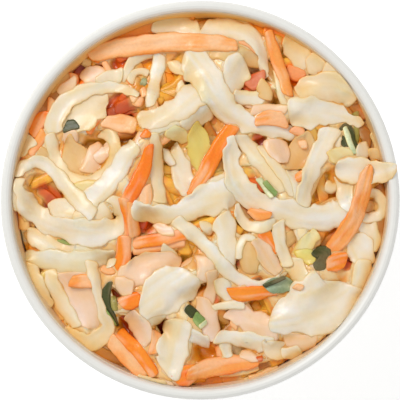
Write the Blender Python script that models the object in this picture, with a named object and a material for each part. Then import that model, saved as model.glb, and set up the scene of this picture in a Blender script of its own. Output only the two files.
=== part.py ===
"""A paper food cup filled with coleslaw: two solids, the cup and the heap of slaw that it holds.

Units are metres and +Z is up. The origin is the middle of the cup's foot, on the surface it stands on.
The cup is a turned paper tub with a rolled bead, a lapped side seam and a raised floor inside a
folded skirt. The heap fills it from the floor to a low crown, whose surface is laid with shreds.
"""

import math
import random

import bmesh
import bpy

MM = 0.001

# Driving sizes of the cup
RIM_RADIUS = 49.0 * MM          # outside of the rolled bead
CUP_HEIGHT = 60.0 * MM
FOOT_RADIUS = 39.0 * MM         # outside of the wall where it meets the table
BEAD_RADIUS = 1.3 * MM          # section of the rolled bead
WALL = 0.6 * MM                 # coated board
SKIRT = 1.4 * MM                # board folded over at the foot
FLOOR_RAISE = 5.0 * MM          # underside of the floor above the table
CORNER = 0.6 * MM               # fillet between floor and wall
FOOT_EASE = 0.25 * MM           # eased edge of the foot
SEAM_ANGLE = math.radians(125)  # where the board laps over itself
SEAM_WIDTH = 7.0 * MM
SEAM_STEP = 0.35 * MM
CUP_SEGMENTS = 96
BEAD_STEPS = 12

# Driving sizes of the heap
GAP = 0.3 * MM                  # clearance that keeps heap and cup apart
EDGE_DROP = 4.5 * MM            # mean level at the wall, below the top of the bead
CROWN_RISE = 5.3 * MM           # how far the middle stands above the edge
HEAP_RINGS = 28
SHRED_COUNT = 120
SHRED_SEED = 11
SHRED_LENGTH = (14.0 * MM, 38.0 * MM)
SHRED_HALF_WIDTH = (1.9 * MM, 3.3 * MM)
SHRED_BEND = math.radians(75)   # largest turn of a shred from end to end
SHRED_RISE = (0.8 * MM, 1.2 * MM)
SHRED_LEVEL = 2.8 * MM          # how far the highest layer of shreds lies above the lowest
SHRED_SAMPLES = 9

# Places that follow from them
BEAD_CENTRE = (RIM_RADIUS - BEAD_RADIUS, CUP_HEIGHT - BEAD_RADIUS)
MOUTH_RADIUS = RIM_RADIUS - 2 * BEAD_RADIUS
FLOOR_TOP = FLOOR_RAISE + WALL
TAPER = (MOUTH_RADIUS + WALL - FOOT_RADIUS) / BEAD_CENTRE[1]


def wall_outside(z):
    """Radius of the wall's outer face at height z."""
    return FOOT_RADIUS + TAPER * z


def wall_inside(z):
    """Radius of the wall's inner face at height z."""
    return wall_outside(z) - WALL


def make_material(name, colour, roughness):
    material = bpy.data.materials.new(name)
    material.use_nodes = True
    shader = material.node_tree.nodes["Principled BSDF"]
    shader.inputs["Base Color"].default_value = (*colour, 1.0)
    shader.inputs["Roughness"].default_value = roughness
    shader.inputs["Metallic"].default_value = 0.0
    return material


def add_object(name, mesh_in_progress, material, sharp_angle):
    mesh = bpy.data.meshes.new(name)
    bmesh.ops.recalc_face_normals(mesh_in_progress, faces=mesh_in_progress.faces)
    mesh_in_progress.to_mesh(mesh)
    mesh_in_progress.free()
    mesh.shade_smooth()
    mesh.set_sharp_from_angle(angle=sharp_angle)
    mesh.materials.append(material)
    part = bpy.data.objects.new(name, mesh)
    bpy.context.scene.collection.objects.link(part)
    return part


def bead_arc():
    """The bead's section, from the mouth over the top and back under to the wall."""
    start, end = math.radians(180), math.radians(-140)
    points = []
    for step in range(BEAD_STEPS + 1):
        angle = start + (end - start) * step / BEAD_STEPS
        radius = BEAD_CENTRE[0] + BEAD_RADIUS * math.cos(angle)
        points.append((radius, BEAD_CENTRE[1] + BEAD_RADIUS * math.sin(angle)))
    return points


def cup_profile():
    """The cup's section as (radius, height, lies on the outer wall), from floor to foot."""
    inside_corner = wall_inside(FLOOR_TOP + CORNER)
    skirt_inside = FOOT_RADIUS - SKIRT
    profile = [(inside_corner - CORNER, FLOOR_TOP, False)]
    profile.append((inside_corner, FLOOR_TOP + CORNER, False))
    profile += [(radius, z, False) for radius, z in bead_arc()]
    under_bead = CUP_HEIGHT - 2 * BEAD_RADIUS
    for z in (under_bead, SKIRT + FLOOR_TOP, SKIRT):
        profile.append((wall_outside(z), z, True))
    profile.append((FOOT_RADIUS, FOOT_EASE, False))
    profile.append((FOOT_RADIUS - FOOT_EASE, 0.0, False))
    profile.append((skirt_inside + FOOT_EASE, 0.0, False))
    profile.append((skirt_inside, FOOT_EASE, False))
    profile.append((skirt_inside, FLOOR_RAISE, False))
    return profile


def cup_angles():
    """Even steps round the cup, with one more just outside the seam's lapped edge."""
    angles = [2 * math.pi * step / CUP_SEGMENTS for step in range(CUP_SEGMENTS)]
    hair = math.radians(0.4)
    return sorted(angles + [SEAM_ANGLE - hair, SEAM_ANGLE])


def seam_height(angle):
    """How far the lapped board stands out: a clear step on one side, feathered on the other."""
    along = (angle - SEAM_ANGLE) * FOOT_RADIUS
    if along < 0 or along > SEAM_WIDTH:
        return 0.0
    return SEAM_STEP * (1 - (along / SEAM_WIDTH) ** 2)


def build_cup():
    shape = bmesh.new()
    profile = cup_profile()
    columns = []
    for angle in cup_angles():
        column = []
        for radius, z, on_wall in profile:
            reach = radius + (seam_height(angle) if on_wall else 0.0)
            column.append(shape.verts.new((reach * math.cos(angle), reach * math.sin(angle), z)))
        columns.append(column)
    for here, following in zip(columns, columns[1:] + columns[:1]):
        for step in range(len(profile) - 1):
            shape.faces.new((here[step], following[step], following[step + 1], here[step + 1]))
    shape.faces.new([column[0] for column in columns])
    shape.faces.new([column[-1] for column in columns])
    paper = make_material("coated_paper", (0.86, 0.86, 0.84), 0.38)
    return add_object("cup", shape, paper, math.radians(35))


def lay_shreds():
    """Shreds spread evenly over the crown, each as (points along its middle, half width, rise, level)."""
    chance = random.Random(SHRED_SEED)
    reach = wall_inside(CUP_HEIGHT - EDGE_DROP)
    golden_angle = math.pi * (3 - math.sqrt(5))
    shreds = []
    for number in range(SHRED_COUNT):
        from_middle = reach * math.sqrt((number + 0.5) / SHRED_COUNT)
        around = number * golden_angle
        heading = chance.uniform(0, 2 * math.pi)
        length = chance.uniform(*SHRED_LENGTH)
        bend = chance.uniform(-SHRED_BEND, SHRED_BEND)
        middle = (from_middle * math.cos(around), from_middle * math.sin(around))
        half_width = chance.uniform(*SHRED_HALF_WIDTH)
        rise = chance.uniform(*SHRED_RISE)
        level = SHRED_LEVEL * chance.random()
        shreds.append((arc_points(middle, heading, length, bend), half_width, rise, level))
    return shreds


def arc_points(middle, heading, length, bend):
    """Points along an arc of this length that turns by bend, with its middle at middle."""
    step = length / (SHRED_SAMPLES - 1)
    points = [middle]
    for side in (1, -1):
        x, y = middle
        run = []
        for number in range(1, SHRED_SAMPLES // 2 + 1):
            turned = heading + side * bend * (number - 0.5) / (SHRED_SAMPLES - 1)
            x += side * step * math.cos(turned)
            y += side * step * math.sin(turned)
            run.append((x, y))
        points = points + run if side == 1 else run[::-1] + points
    return points


def distance_to_line(x, y, points):
    """Distance from (x, y) to the nearest stretch of the line through the points."""
    nearest = math.inf
    for (ax, ay), (bx, by) in zip(points, points[1:]):
        dx, dy = bx - ax, by - ay
        share = ((x - ax) * dx + (y - ay) * dy) / (dx * dx + dy * dy)
        share = min(1.0, max(0.0, share))
        nearest = min(nearest, math.hypot(x - ax - share * dx, y - ay - share * dy))
    return nearest


def heap_level(x, y, shreds):
    """Height of the heap's top at (x, y): a low crown, laid with rounded shreds."""
    reach = wall_inside(CUP_HEIGHT - EDGE_DROP)
    from_middle = min(1.0, math.hypot(x, y) / reach)
    crown = CUP_HEIGHT - EDGE_DROP + CROWN_RISE * (1 - from_middle ** 2.4)
    relief = 0.0
    for points, half_width, rise, level in shreds:
        away = distance_to_line(x, y, points) / half_width
        if away < 1:
            relief = max(relief, level + rise * math.sqrt(1 - away * away))
    middle_of_relief = (SHRED_LEVEL + SHRED_RISE[1]) / 2
    return crown + relief - middle_of_relief


def build_heap():
    """The heap: ring number k of its top has 6 k points, so that its facets are all of one size."""
    shreds = lay_shreds()
    reach = wall_inside(CUP_HEIGHT - EDGE_DROP) - GAP
    shape = bmesh.new()
    rings = [[shape.verts.new((0.0, 0.0, heap_level(0.0, 0.0, shreds)))]]
    for number in range(1, HEAP_RINGS + 1):
        ring = []
        for step in range(6 * number):
            angle = 2 * math.pi * step / (6 * number)
            radius = reach * number / HEAP_RINGS
            z = heap_level(radius * math.cos(angle), radius * math.sin(angle), shreds)
            if number == HEAP_RINGS:
                radius = wall_inside(z) - GAP
            ring.append(shape.verts.new((radius * math.cos(angle), radius * math.sin(angle), z)))
        rings.append(ring)
    fill_between_rings(shape, rings)
    foot_z = FLOOR_TOP + GAP
    corner_radius = wall_inside(foot_z + CORNER) - GAP
    edge = rings[-1]
    edge = add_ring_below(shape, edge, corner_radius, foot_z + CORNER)
    edge = add_ring_below(shape, edge, corner_radius - CORNER, foot_z)
    shape.faces.new(edge)
    dressed = make_material("dressed_cabbage", (0.87, 0.79, 0.60), 0.35)
    return add_object("coleslaw", shape, dressed, math.radians(60))


def fill_between_rings(shape, rings):
    """Triangles between ring k and ring k + 1, sector by sector."""
    for number in range(1, HEAP_RINGS + 1):
        inner, outer = rings[number - 1], rings[number]
        for sector in range(6):
            for step in range(number):
                first = outer[(sector * number + step) % len(outer)]
                second = outer[(sector * number + step + 1) % len(outer)]
                below = inner[(sector * (number - 1) + step) % len(inner)]
                shape.faces.new((first, second, below))
                if step < number - 1:
                    next_below = inner[(sector * (number - 1) + step + 1) % len(inner)]
                    shape.faces.new((second, next_below, below))


def add_ring_below(shape, edge, radius, z):
    """A ring of points under the edge, joined to it by a band of faces."""
    lower = []
    for vertex in edge:
        scale = radius / math.hypot(vertex.co.x, vertex.co.y)
        lower.append(shape.verts.new((vertex.co.x * scale, vertex.co.y * scale, z)))
    for step in range(len(edge)):
        following = (step + 1) % len(edge)
        shape.faces.new((edge[step], edge[following], lower[following], lower[step]))
    return lower


def main():
    for leftover in list(bpy.data.objects):
        bpy.data.objects.remove(leftover)
    build_cup()
    build_heap()


main()
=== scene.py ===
"""Looks of a paper cup of coleslaw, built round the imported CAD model.

Sizes are millimetres in the frame's own axes, and become metres where a mesh is made. Lights and the
camera are placed in metres. The slaw's loose pieces are laid one after another on a height map of the
pile, so that each rests on what lies under it.
"""

import math
from types import SimpleNamespace

import bpy
import numpy as np
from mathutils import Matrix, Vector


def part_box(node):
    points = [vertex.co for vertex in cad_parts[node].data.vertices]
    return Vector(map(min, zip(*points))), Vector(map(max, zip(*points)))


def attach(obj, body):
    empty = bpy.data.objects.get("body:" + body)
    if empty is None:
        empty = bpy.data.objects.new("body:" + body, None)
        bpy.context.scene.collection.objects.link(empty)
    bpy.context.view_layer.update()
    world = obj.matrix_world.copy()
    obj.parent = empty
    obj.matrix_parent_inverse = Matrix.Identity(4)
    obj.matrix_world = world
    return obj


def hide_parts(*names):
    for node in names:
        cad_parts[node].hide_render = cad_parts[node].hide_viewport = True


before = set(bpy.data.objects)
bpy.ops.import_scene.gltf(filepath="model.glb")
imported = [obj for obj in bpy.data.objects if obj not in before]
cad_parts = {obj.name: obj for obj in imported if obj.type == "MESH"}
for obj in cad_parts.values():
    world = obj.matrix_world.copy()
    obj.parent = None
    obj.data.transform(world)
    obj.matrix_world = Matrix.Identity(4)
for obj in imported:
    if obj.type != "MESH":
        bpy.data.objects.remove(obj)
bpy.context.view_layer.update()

MM = 0.001
_, cup_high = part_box("cup")
slaw_low, slaw_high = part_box("coleslaw")

# the cup
RIM_RADIUS = cup_high[0] / MM
CUP_HEIGHT = cup_high[2] / MM
BEAD_RADIUS = 1.3
MOUTH_RADIUS = RIM_RADIUS - 2 * BEAD_RADIUS
WALL_SLOPE = 0.1363               # how much the wall's radius grows for each millimetre of height
WALL_CLEARANCE = 0.15

# the heap
CEILING = slaw_high[2] / MM       # top of the CAD heap
SLAW_FLOOR = slaw_low[2] / MM
EDGE_LEVEL = CUP_HEIGHT - 2.4     # top of the pile at the wall
CROWN_LEVEL = CEILING - 1.2       # and in the middle
CROWN_FLATNESS = 2.6              # a higher power keeps the pile level further out
CORE_DEPTH = 5.8                  # from the pile's top down to the bed that the pieces are laid on
CORE_DEPTH_AT_WALL = 3.4
CORE_RELIEF = 1.2                 # how uneven that bed is
GAP_DEPTH = 0.8                   # how much deeper the bed is in a gap between the top pieces
GAP_SLOPE = 0.8                   # width of a gap's sloping side
GAP_FADE = 0.9                    # how far a gap's colour reaches past its edge
FILL_ROOM = 0.2                   # no more fill is laid where the pile is closer than this to its crown
SPREAD = 1.008                    # the pieces lie lower than the rim, so they look closer to the middle

# how the finished heap is pressed together, so that it keeps within its outline
PRESS_FROM = 0.4                  # pressing begins this far below the crown
PRESS = 0.78                      # share of the height that is kept above that
HEADROOM = 2.3                    # pieces rise less than this above that level in the middle
HEADROOM_AT_WALL = 60.0           # near the wall they are hardly held down
PRESS_RADIUS = 38.0               # the pressing fades away from this radius
PRESS_FADE = 8.0                  # over this width

rng = np.random.default_rng(7)


# ---------------- colours

def linear(red, green, blue):
    """Scene-linear colour of one given as it looks on a screen, 0 to 255."""
    seen = np.array([red, green, blue]) / 255
    return np.where(seen <= 0.04045, seen / 12.92, ((seen + 0.055) / 1.055) ** 2.4)


TINTS = {
    # cabbage
    "white": ("cabbage", 240, 234, 225),
    "grey": ("cabbage", 230, 226, 212),
    "cream": ("cabbage", 241, 228, 206),
    # tan is also cabbage lying in shade: partly painted shade
    "tan": ("cabbage", 234, 202, 154),
    "pink": ("cabbage", 245, 218, 200),
    "yellow": ("cabbage", 238, 224, 176),
    "green": ("cabbage", 230, 216, 130),
    # carrot
    "blush": ("carrot", 253, 206, 164),
    "peach": ("carrot", 254, 174, 92),
    "orange": ("carrot", 254, 150, 32),
    "deep": ("carrot", 252, 136, 12),
    "red": ("carrot", 214, 96, 2),
    # leaf and stalk
    "dark": ("herb", 66, 70, 26),
    "olive": ("herb", 150, 142, 66),
    "leaf": ("herb", 138, 166, 92),
    "sage": ("herb", 158, 178, 150),
    "pale": ("herb", 214, 220, 178),
}
# colours of the gaps between the top pieces: painted shade, partly the golden dressing pooled there
GAP_TINTS = {
    "gold": (238, 182, 62),
    "amber": (240, 152, 30),
    "flame": (252, 122, 4),
    "rust": (216, 90, 10),
    "brick": (180, 58, 6),
    "umber": (182, 120, 30),
    "soot": (84, 60, 24),
    "sand": (242, 206, 142),
}
# what dressing and painted shade take from red, green and blue
# dressing, and painted shade on pieces that lie deep
DIPPED_AND_SHADED = np.array([0.06, 0.26, 0.60])
# painted shade on a piece's sides, most on the side turned from the light
FLANK_SHADE = np.array([0.03, 0.17, 0.42])
# painted shade along a piece's edges
BRINK_SHADE = np.array([0.0, 0.22, 0.60])
# painted shade with depth below the highest pieces
DEPTH_SHADE = np.array([0.03, 0.22, 0.54])
# painted shade in the dressing's hollows
HOLLOW_SHADE = np.array([0.0, 0.24, 0.62])
UNDERSIDE_SHADE = np.array([1.0, 0.86, 0.64])       # share that is left on the underside: painted shade
DRESSING_FILM = linear(253, 214, 174)
# dressing colours: cream high up, and golden deep down as painted shade
HIGH_DRESSING = linear(246, 222, 176)
DEEP_DRESSING = linear(228, 156, 40)
# wall film: pale dressing, turning orange at the far side and lower down as painted shade
PALE_FILM = linear(250, 226, 190)
WARM_FILM = linear(255, 186, 92)


# ---------------- curves and noise

FINE_STEP = 0.1                   # a curve's length is measured on samples this close
END_CROWDING = 0.55               # how much closer the samples lie at a curve's ends
LATTICE = 64                      # a noise repeats after this many wavelengths
LATTICE_SHIFT = 500               # and is read this many wavelengths from its lattice's corner


def smooth_path(points, step):
    """Samples, about step apart, of a smooth curve through the points, and how far along each one is."""
    points = np.array(points, float)
    if len(points) == 2:
        points = np.array([points[0], points.mean(axis=0), points[1]])
    knots = np.concatenate([[0], np.cumsum(np.linalg.norm(np.diff(points, axis=0), axis=1))])
    slopes = np.gradient(points, knots, axis=0)
    fine = np.linspace(0, knots[-1], int(knots[-1] / FINE_STEP) + 8)
    left = np.clip(np.searchsorted(knots, fine, side="right") - 1, 0, len(knots) - 2)
    span = (knots[left + 1] - knots[left])[:, None]
    t = ((fine - knots[left]) / span[:, 0])[:, None]
    curve = ((2 * t ** 3 - 3 * t ** 2 + 1) * points[left] + (t ** 3 - 2 * t ** 2 + t) * span * slopes[left]
             + (3 * t ** 2 - 2 * t ** 3) * points[left + 1] + (t ** 3 - t ** 2) * span * slopes[left + 1])
    run = np.concatenate([[0], np.cumsum(np.linalg.norm(np.diff(curve, axis=0), axis=1))])
    even = np.linspace(0, 1, max(8, int(run[-1] / step) + 6))
    places = run[-1] * (even - END_CROWDING * np.sin(2 * math.pi * even) / (2 * math.pi))
    sampled = np.stack([np.interp(places, run, curve[:, axis]) for axis in (0, 1)], axis=1)
    return sampled, places


def stations(values, places, length):
    """Values spread evenly over a length, read smoothly at the given places."""
    values = np.atleast_1d(np.array(values, float))
    if len(values) == 1:
        return np.full(len(places), values[0])
    share = places / length * (len(values) - 1)
    left = np.clip(share.astype(int), 0, len(values) - 2)
    t = share - left
    t = t * t * (3 - 2 * t) * 0.5 + t * 0.5
    return values[left] * (1 - t) + values[left + 1] * t


def wobble(places, wavelength):
    """A smooth random line between about -1 and 1."""
    line = np.zeros(len(places))
    for share in (1.0, 0.6, 0.37):
        line += share * np.sin(2 * math.pi * places / (wavelength * share) + rng.uniform(0, 2 * math.pi))
    return line / 1.6


def jagged(places, wavelength):
    """A random line of straight stretches between -1 and 1."""
    knots = np.arange(-wavelength, places[-1] + 2 * wavelength, wavelength)
    knots = knots + rng.uniform(-0.3, 0.3, len(knots)) * wavelength
    return np.interp(places, knots, rng.uniform(-1, 1, len(knots)))


def torn(places):
    """How a torn edge strays from its smooth line, about -1 to 1."""
    return 0.6 * wobble(places, 6.0) + 0.5 * jagged(places, 2.4)


class Field:
    """Smooth random values over the plane, between 0 and 1."""

    def __init__(self, wavelength):
        self.wavelength = wavelength
        self.lattice = rng.random((LATTICE, LATTICE))

    def read(self, x, y):
        u = x / self.wavelength + LATTICE_SHIFT
        v = y / self.wavelength + LATTICE_SHIFT
        i, j = np.floor(u).astype(int), np.floor(v).astype(int)
        s, t = u - i, v - j
        s, t = s * s * (3 - 2 * s), t * t * (3 - 2 * t)
        i, j, right, above = (index % LATTICE for index in (i, j, i + 1, j + 1))
        low = self.lattice[i, j] * (1 - s) + self.lattice[right, j] * s
        high = self.lattice[i, above] * (1 - s) + self.lattice[right, above] * s
        return low * (1 - t) + high * t


def neighbours(grid, axis):
    """The values before and after each one along an axis, the border's own value beyond it."""
    count = grid.shape[axis]
    padded = np.concatenate([grid.take([0], axis), grid, grid.take([-1], axis)], axis)
    return padded.take(range(count), axis), padded.take(range(2, count + 2), axis)


def smoothed(grid, rounds_along, rounds_across=0):
    """A grid blurred by repeated 1-2-1 averaging along each axis."""
    for axis, rounds in ((0, rounds_along), (1, rounds_across)):
        for _ in range(rounds):
            before, after = neighbours(grid, axis)
            grid = 0.5 * grid + 0.25 * (before + after)
    return grid


def upper_envelope(grid, cells):
    """A smooth surface near the highest points within so many cells of each place."""
    for _ in range(cells):
        for axis in (0, 1):
            grid = np.maximum(grid, np.maximum(*neighbours(grid, axis)))
    return smoothed(grid, 3 * cells, 3 * cells)


def refined(grid, factor):
    """A grid with factor - 1 rows and columns interpolated between each two of its own."""
    for axis in (0, 1):
        count = grid.shape[axis]
        places = np.linspace(0, count - 1, (count - 1) * factor + 1)
        left = np.minimum(places.astype(int), count - 2)
        t = places - left
        t = t[:, None] if axis == 0 else t[None, :]
        grid = grid.take(left, axis) * (1 - t) + grid.take(left + 1, axis) * t
    return grid


def distance_to_line(x, y, points):
    """Distance from each place to the nearest stretch of the line through the points."""
    nearest = np.full(np.shape(x), np.inf)
    for (ax, ay), (bx, by) in zip(points, points[1:]):
        dx, dy = bx - ax, by - ay
        share = np.clip(((x - ax) * dx + (y - ay) * dy) / (dx * dx + dy * dy), 0, 1)
        nearest = np.minimum(nearest, np.hypot(x - ax - share * dx, y - ay - share * dy))
    return nearest


# ---------------- outline of the heap

def wall_radius(z):
    """Inner radius of the cup's wall at height z."""
    return MOUTH_RADIUS - WALL_SLOPE * np.maximum(0, CUP_HEIGHT - BEAD_RADIUS - z)


def share_outward(x, y):
    """0 in the middle of the cup, 1 at the mouth's edge and beyond."""
    return np.minimum(1, np.hypot(x, y) / MOUTH_RADIUS)


def crown(x, y):
    """Level of the finished pile's top."""
    return EDGE_LEVEL + (CROWN_LEVEL - EDGE_LEVEL) * (1 - share_outward(x, y) ** CROWN_FLATNESS)


def settled(x, y, z):
    """Heights pressed together near the top."""
    level = crown(x, y) - PRESS_FROM
    over = np.maximum(0, z - level)
    outward = np.clip((np.hypot(x, y) - PRESS_RADIUS) / PRESS_FADE, 0, 1)
    keep = PRESS + (1.0 - PRESS) * outward
    room = HEADROOM + HEADROOM_AT_WALL * outward ** 4
    return np.where(z > level, level + room * (1 - np.exp(-over * keep / room)), z)


# ---------------- gaps between the top pieces

GAPS = [
    # colour (painted shade, partly pooled dressing), half width and line of each
    ("amber", 1.2, (-26, 37), (-20, 40.4), (-12.5, 42.2)),
    ("brick", 1.3, (-32.5, 31.2), (-29, 32.8)),
    ("flame", 0.8, (-29.6, 30.6), (-28, 28.4)),
    ("rust", 1.3, (-20.2, 33.5), (-18.4, 34)),
    ("rust", 0.5, (-25, 32.9), (-24, 32.6)),
    ("amber", 1.3, (-14.2, 32.2), (-12.3, 33.8)),
    ("rust", 1.9, (-22.2, 22.4), (-19.8, 24)),
    ("brick", 1.6, (-20.6, 21.9), (-17.8, 22)),
    ("gold", 0.7, (-15.4, 25), (-14, 23.6)),
    ("umber", 0.9, (-35.6, 27), (-38, 23.8)),
    ("rust", 1.4, (-41.4, 17.4), (-40, 20)),
    ("rust", 0.8, (-44.6, 9.4), (-44.4, 7.6)),
    ("gold", 1.9, (-9, 25.4), (-7, 28.5), (-6.8, 30.5)),
    ("amber", 0.9, (-7.6, 31.6), (-7.4, 30)),
    ("soot", 0.8, (-3.5, 28.2), (-2, 29.5)),
    ("gold", 0.8, (-6, 33.4), (-5, 34.8)),
    ("sand", 2.0, (-31.6, 8.4), (-30.4, 11.5)),
    ("umber", 0.7, (-27.3, 13.6), (-24.2, 13.7)),
    ("umber", 0.9, (-18.8, 15.4), (-16.5, 15.6)),
    ("gold", 1.2, (-41, 4.4), (-37.4, 4.8)),
    ("rust", 1.4, (-38.6, 2.6), (-35.8, 0.6)),
    ("brick", 0.8, (-37.4, 0.4), (-37.6, -1.4)),
    ("gold", 0.8, (-7.3, 13), (-6.8, 14.6)),
    ("gold", 0.9, (-8.5, 8.6), (-7.5, 5.5), (-6.3, -0.4)),
    ("umber", 1.4, (-0.4, 18.4), (2, 20)),
    ("umber", 1.2, (2.4, 16.4), (2.2, 13.4)),
    ("umber", 1.1, (5.6, 11), (4.8, 8.4)),
    ("gold", 0.9, (4, 6.2), (4.8, 5.2)),
    ("sand", 1.1, (-43.6, -5.4), (-43.2, -9)),
    ("amber", 0.8, (-5, 45), (3.5, 44.8)),
    ("umber", 0.6, (0.4, 43.8), (2, 44)),
    ("amber", 0.8, (13, 43), (15.6, 41.8)),
    ("rust", 1.2, (10.6, 27.2), (12.6, 28.6), (14, 30.4)),
    ("sand", 1.2, (12.6, 33), (14, 33.6)),
    ("soot", 0.3, (10, 22.6), (12, 22.3)),
    ("umber", 0.9, (17.2, 33.2), (17, 30.6)),
    ("umber", 1.0, (18, 25.6), (18, 23.8)),
    ("gold", 1.0, (20.8, 35.4), (22, 33.4)),
    ("flame", 1.5, (22.6, 32), (24, 29.8)),
    ("soot", 0.3, (27.9, 30.6), (28.1, 30.4)),
    ("soot", 0.35, (32.3, 28.7), (32.7, 28.3)),
    ("umber", 0.9, (38.2, 23.6), (38.4, 22.8)),
    ("umber", 0.9, (39.3, 20.6), (41, 16.8)),
    ("umber", 1.0, (41.4, 15.4), (42, 11.2)),
    ("amber", 0.8, (27, 16.9), (30.8, 18)),
    ("gold", 1.5, (26.4, 14), (28, 16)),
    ("brick", 0.9, (14.5, 15.4), (15.5, 13.9)),
    ("umber", 0.7, (9.8, 14.1), (9.7, 13.2)),
    ("flame", 0.6, (19.7, 17.8), (22, 17.6)),
    ("amber", 1.3, (21.8, 13.4), (23, 13.2)),
    ("sand", 1.8, (23.4, 9.4), (23.8, 12)),
    ("gold", 0.9, (11.2, 7), (12.6, 5)),
    ("rust", 1.1, (12.8, 4.4), (15, 2.6)),
    ("gold", 1.0, (30.4, 5.6), (28.9, 3), (28.6, -0.6)),
    ("amber", 0.7, (29.4, 0), (32, 0.8), (33.9, 1.3)),
    ("umber", 0.8, (44.6, 3.1), (45.3, 1.4)),
    ("amber", 1.2, (-43, -12.6), (-41, -12.7)),
    ("brick", 0.4, (-40, -7), (-38, -8.2)),
    ("umber", 0.8, (-33, -10.9), (-31, -10.9)),
    ("umber", 0.35, (-21.6, -4.4), (-20.8, -6)),
    ("rust", 1.0, (-24.6, -14.5), (-22.6, -14.3)),
    ("brick", 0.7, (-16.8, -14.5), (-15.6, -14)),
    ("rust", 1.3, (-14.4, -6.5), (-12.2, -7)),
    ("sand", 1.0, (-10, -6.4), (-9, -6.4)),
    ("gold", 0.9, (-2.6, -4.8), (3, -4.8)),
    ("gold", 1.3, (-2.2, -10.7), (-4, -13.8), (-6, -15)),
    ("umber", 0.5, (-9.6, -13), (-9.5, -12.6)),
    ("umber", 0.5, (-40.2, -17.6), (-38, -22), (-36.6, -26)),
    ("amber", 1.2, (-36, -27.2), (-34.6, -28.6)),
    ("rust", 0.7, (-20.8, -22.6), (-20.3, -23.4)),
    ("brick", 0.9, (-18.6, -28.6), (-18, -31), (-16.2, -33.2)),
    ("umber", 1.3, (-27, -36.6), (-23, -38.4), (-20, -40.4)),
    ("rust", 0.8, (-15.2, -41), (-14.6, -41.2)),
    ("brick", 0.8, (-9.4, -30), (-9, -33.4)),
    ("amber", 1.1, (0.4, -22), (1, -23.4)),
    ("sand", 1.1, (-2, -24), (-0.4, -26)),
    ("rust", 0.8, (3.6, -24.2), (3.8, -25)),
    ("amber", 1.1, (4.2, -27.4), (5.6, -27.6)),
    ("umber", 1.4, (6.2, -29.4), (5.5, -31.4)),
    ("gold", 1.1, (9.4, -5.2), (10.8, -8)),
    ("brick", 0.9, (11.6, -1.4), (13, -3.2)),
    ("umber", 0.9, (18, -7.4), (18.1, -8.8)),
    ("brick", 0.6, (8.8, -15.8), (9.8, -15)),
    ("soot", 0.3, (12.5, -20.7), (14.5, -19.6)),
    ("gold", 1.3, (13, -25.4), (15.4, -26), (16, -28)),
    ("amber", 1.6, (1.6, -36.4), (2.2, -38)),
    ("sand", 1.1, (8.8, -36.8), (10, -38.2)),
    ("amber", 0.9, (3, -44.6), (8.4, -43.6)),
    ("umber", 0.9, (12, -41.9), (16, -41)),
    ("rust", 0.7, (22, -39.2), (25, -38)),
    ("rust", 0.35, (28.6, -35.4), (31.2, -33.5)),
    ("umber", 0.9, (37, -25), (38.6, -22.4), (41.4, -18.2)),
    ("soot", 0.8, (43.2, -11.9), (42.9, -13.7)),
    ("umber", 0.9, (45.2, -3), (44.7, -7.6)),
    ("brick", 0.4, (20, -14.6), (20.6, -15.4)),
    ("brick", 0.7, (36.1, -16), (36.9, -15.5)),
    ("amber", 1.3, (28.8, -9), (32.4, -8.2)),
    ("umber", 0.9, (30.6, -10.2), (30.2, -11.2)),
    ("gold", 0.5, (21, -19.2), (22.6, -21)),
    ("sand", 1.0, (21.9, -8), (22.3, -10)),
    ("sand", 1.2, (41.5, -1.8), (42.8, -1.7)),
]

# ---------------- the pile

class Pile:
    """Height map of what has been laid so far, over a square grid that covers the cup."""

    CELL = 0.4
    REACH = 50.0

    def __init__(self):
        axis = np.arange(-self.REACH, self.REACH + self.CELL / 2, self.CELL)
        self.x, self.y = np.meshgrid(axis, axis, indexing="ij")
        relief = Field(7.0).read(self.x, self.y) + 0.5 * Field(3.0).read(self.x, self.y)
        depth = CORE_DEPTH + (CORE_DEPTH_AT_WALL - CORE_DEPTH) * share_outward(self.x, self.y) ** 4
        self.top = crown(self.x, self.y) - depth + CORE_RELIEF * (relief - 0.75)
        self.dig_gaps()
        from_bead = (np.hypot(self.x, self.y) - RIM_RADIUS + BEAD_RADIUS) / BEAD_RADIUS
        bead = CUP_HEIGHT - BEAD_RADIUS + BEAD_RADIUS * np.sqrt(np.clip(1 - from_bead ** 2, 0, 1))
        self.top = np.where(np.abs(from_bead) < 1, bead, self.top)

    def dig_gaps(self):
        """Lowers the bed in the gaps, and maps their colour (painted shade, partly pooled dressing), its
        share and the distance to them.
        """
        self.gap_tint = np.zeros((*self.x.shape, 3))
        self.gap_share = np.zeros(self.x.shape)
        self.to_gap = np.full(self.x.shape, 2 * self.REACH)
        for name, half_width, *line in GAPS:
            away = distance_to_line(self.x, self.y, line) - half_width
            self.top -= GAP_DEPTH * min(1, half_width) * np.clip(1 - away / GAP_SLOPE, 0, 1)
            self.to_gap = np.minimum(self.to_gap, away)
            near = np.clip(1.0 - away / GAP_FADE, 0, 1)
            self.gap_tint += (linear(*GAP_TINTS[name]) - self.gap_tint) * near[..., None]
            self.gap_share = np.maximum(self.gap_share, near)

    def cells(self, x, y):
        count = self.x.shape[0]
        i = np.clip((x + self.REACH) / self.CELL, 0, count - 1.001)
        j = np.clip((y + self.REACH) / self.CELL, 0, count - 1.001)
        return i, j

    def read(self, x, y, grid=None):
        """Values of the map, or of another grid like it, at these places."""
        grid = self.top if grid is None else grid
        i, j = self.cells(x, y)
        a, b = i.astype(int), j.astype(int)
        s, t = i - a, j - b
        if grid.ndim == 3:
            s, t = s[..., None], t[..., None]
        low = grid[a, b] * (1 - s) + grid[a + 1, b] * s
        high = grid[a, b + 1] * (1 - s) + grid[a + 1, b + 1] * s
        return low * (1 - t) + high * t

    def cover(self, x, y, z):
        """Raises the map to a surface given as three grids."""
        x, y, z = (refined(grid, 4) for grid in (x, y, z))
        i, j = self.cells(x, y)
        np.maximum.at(self.top, (np.rint(i).astype(int), np.rint(j).astype(int)), z)


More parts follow.
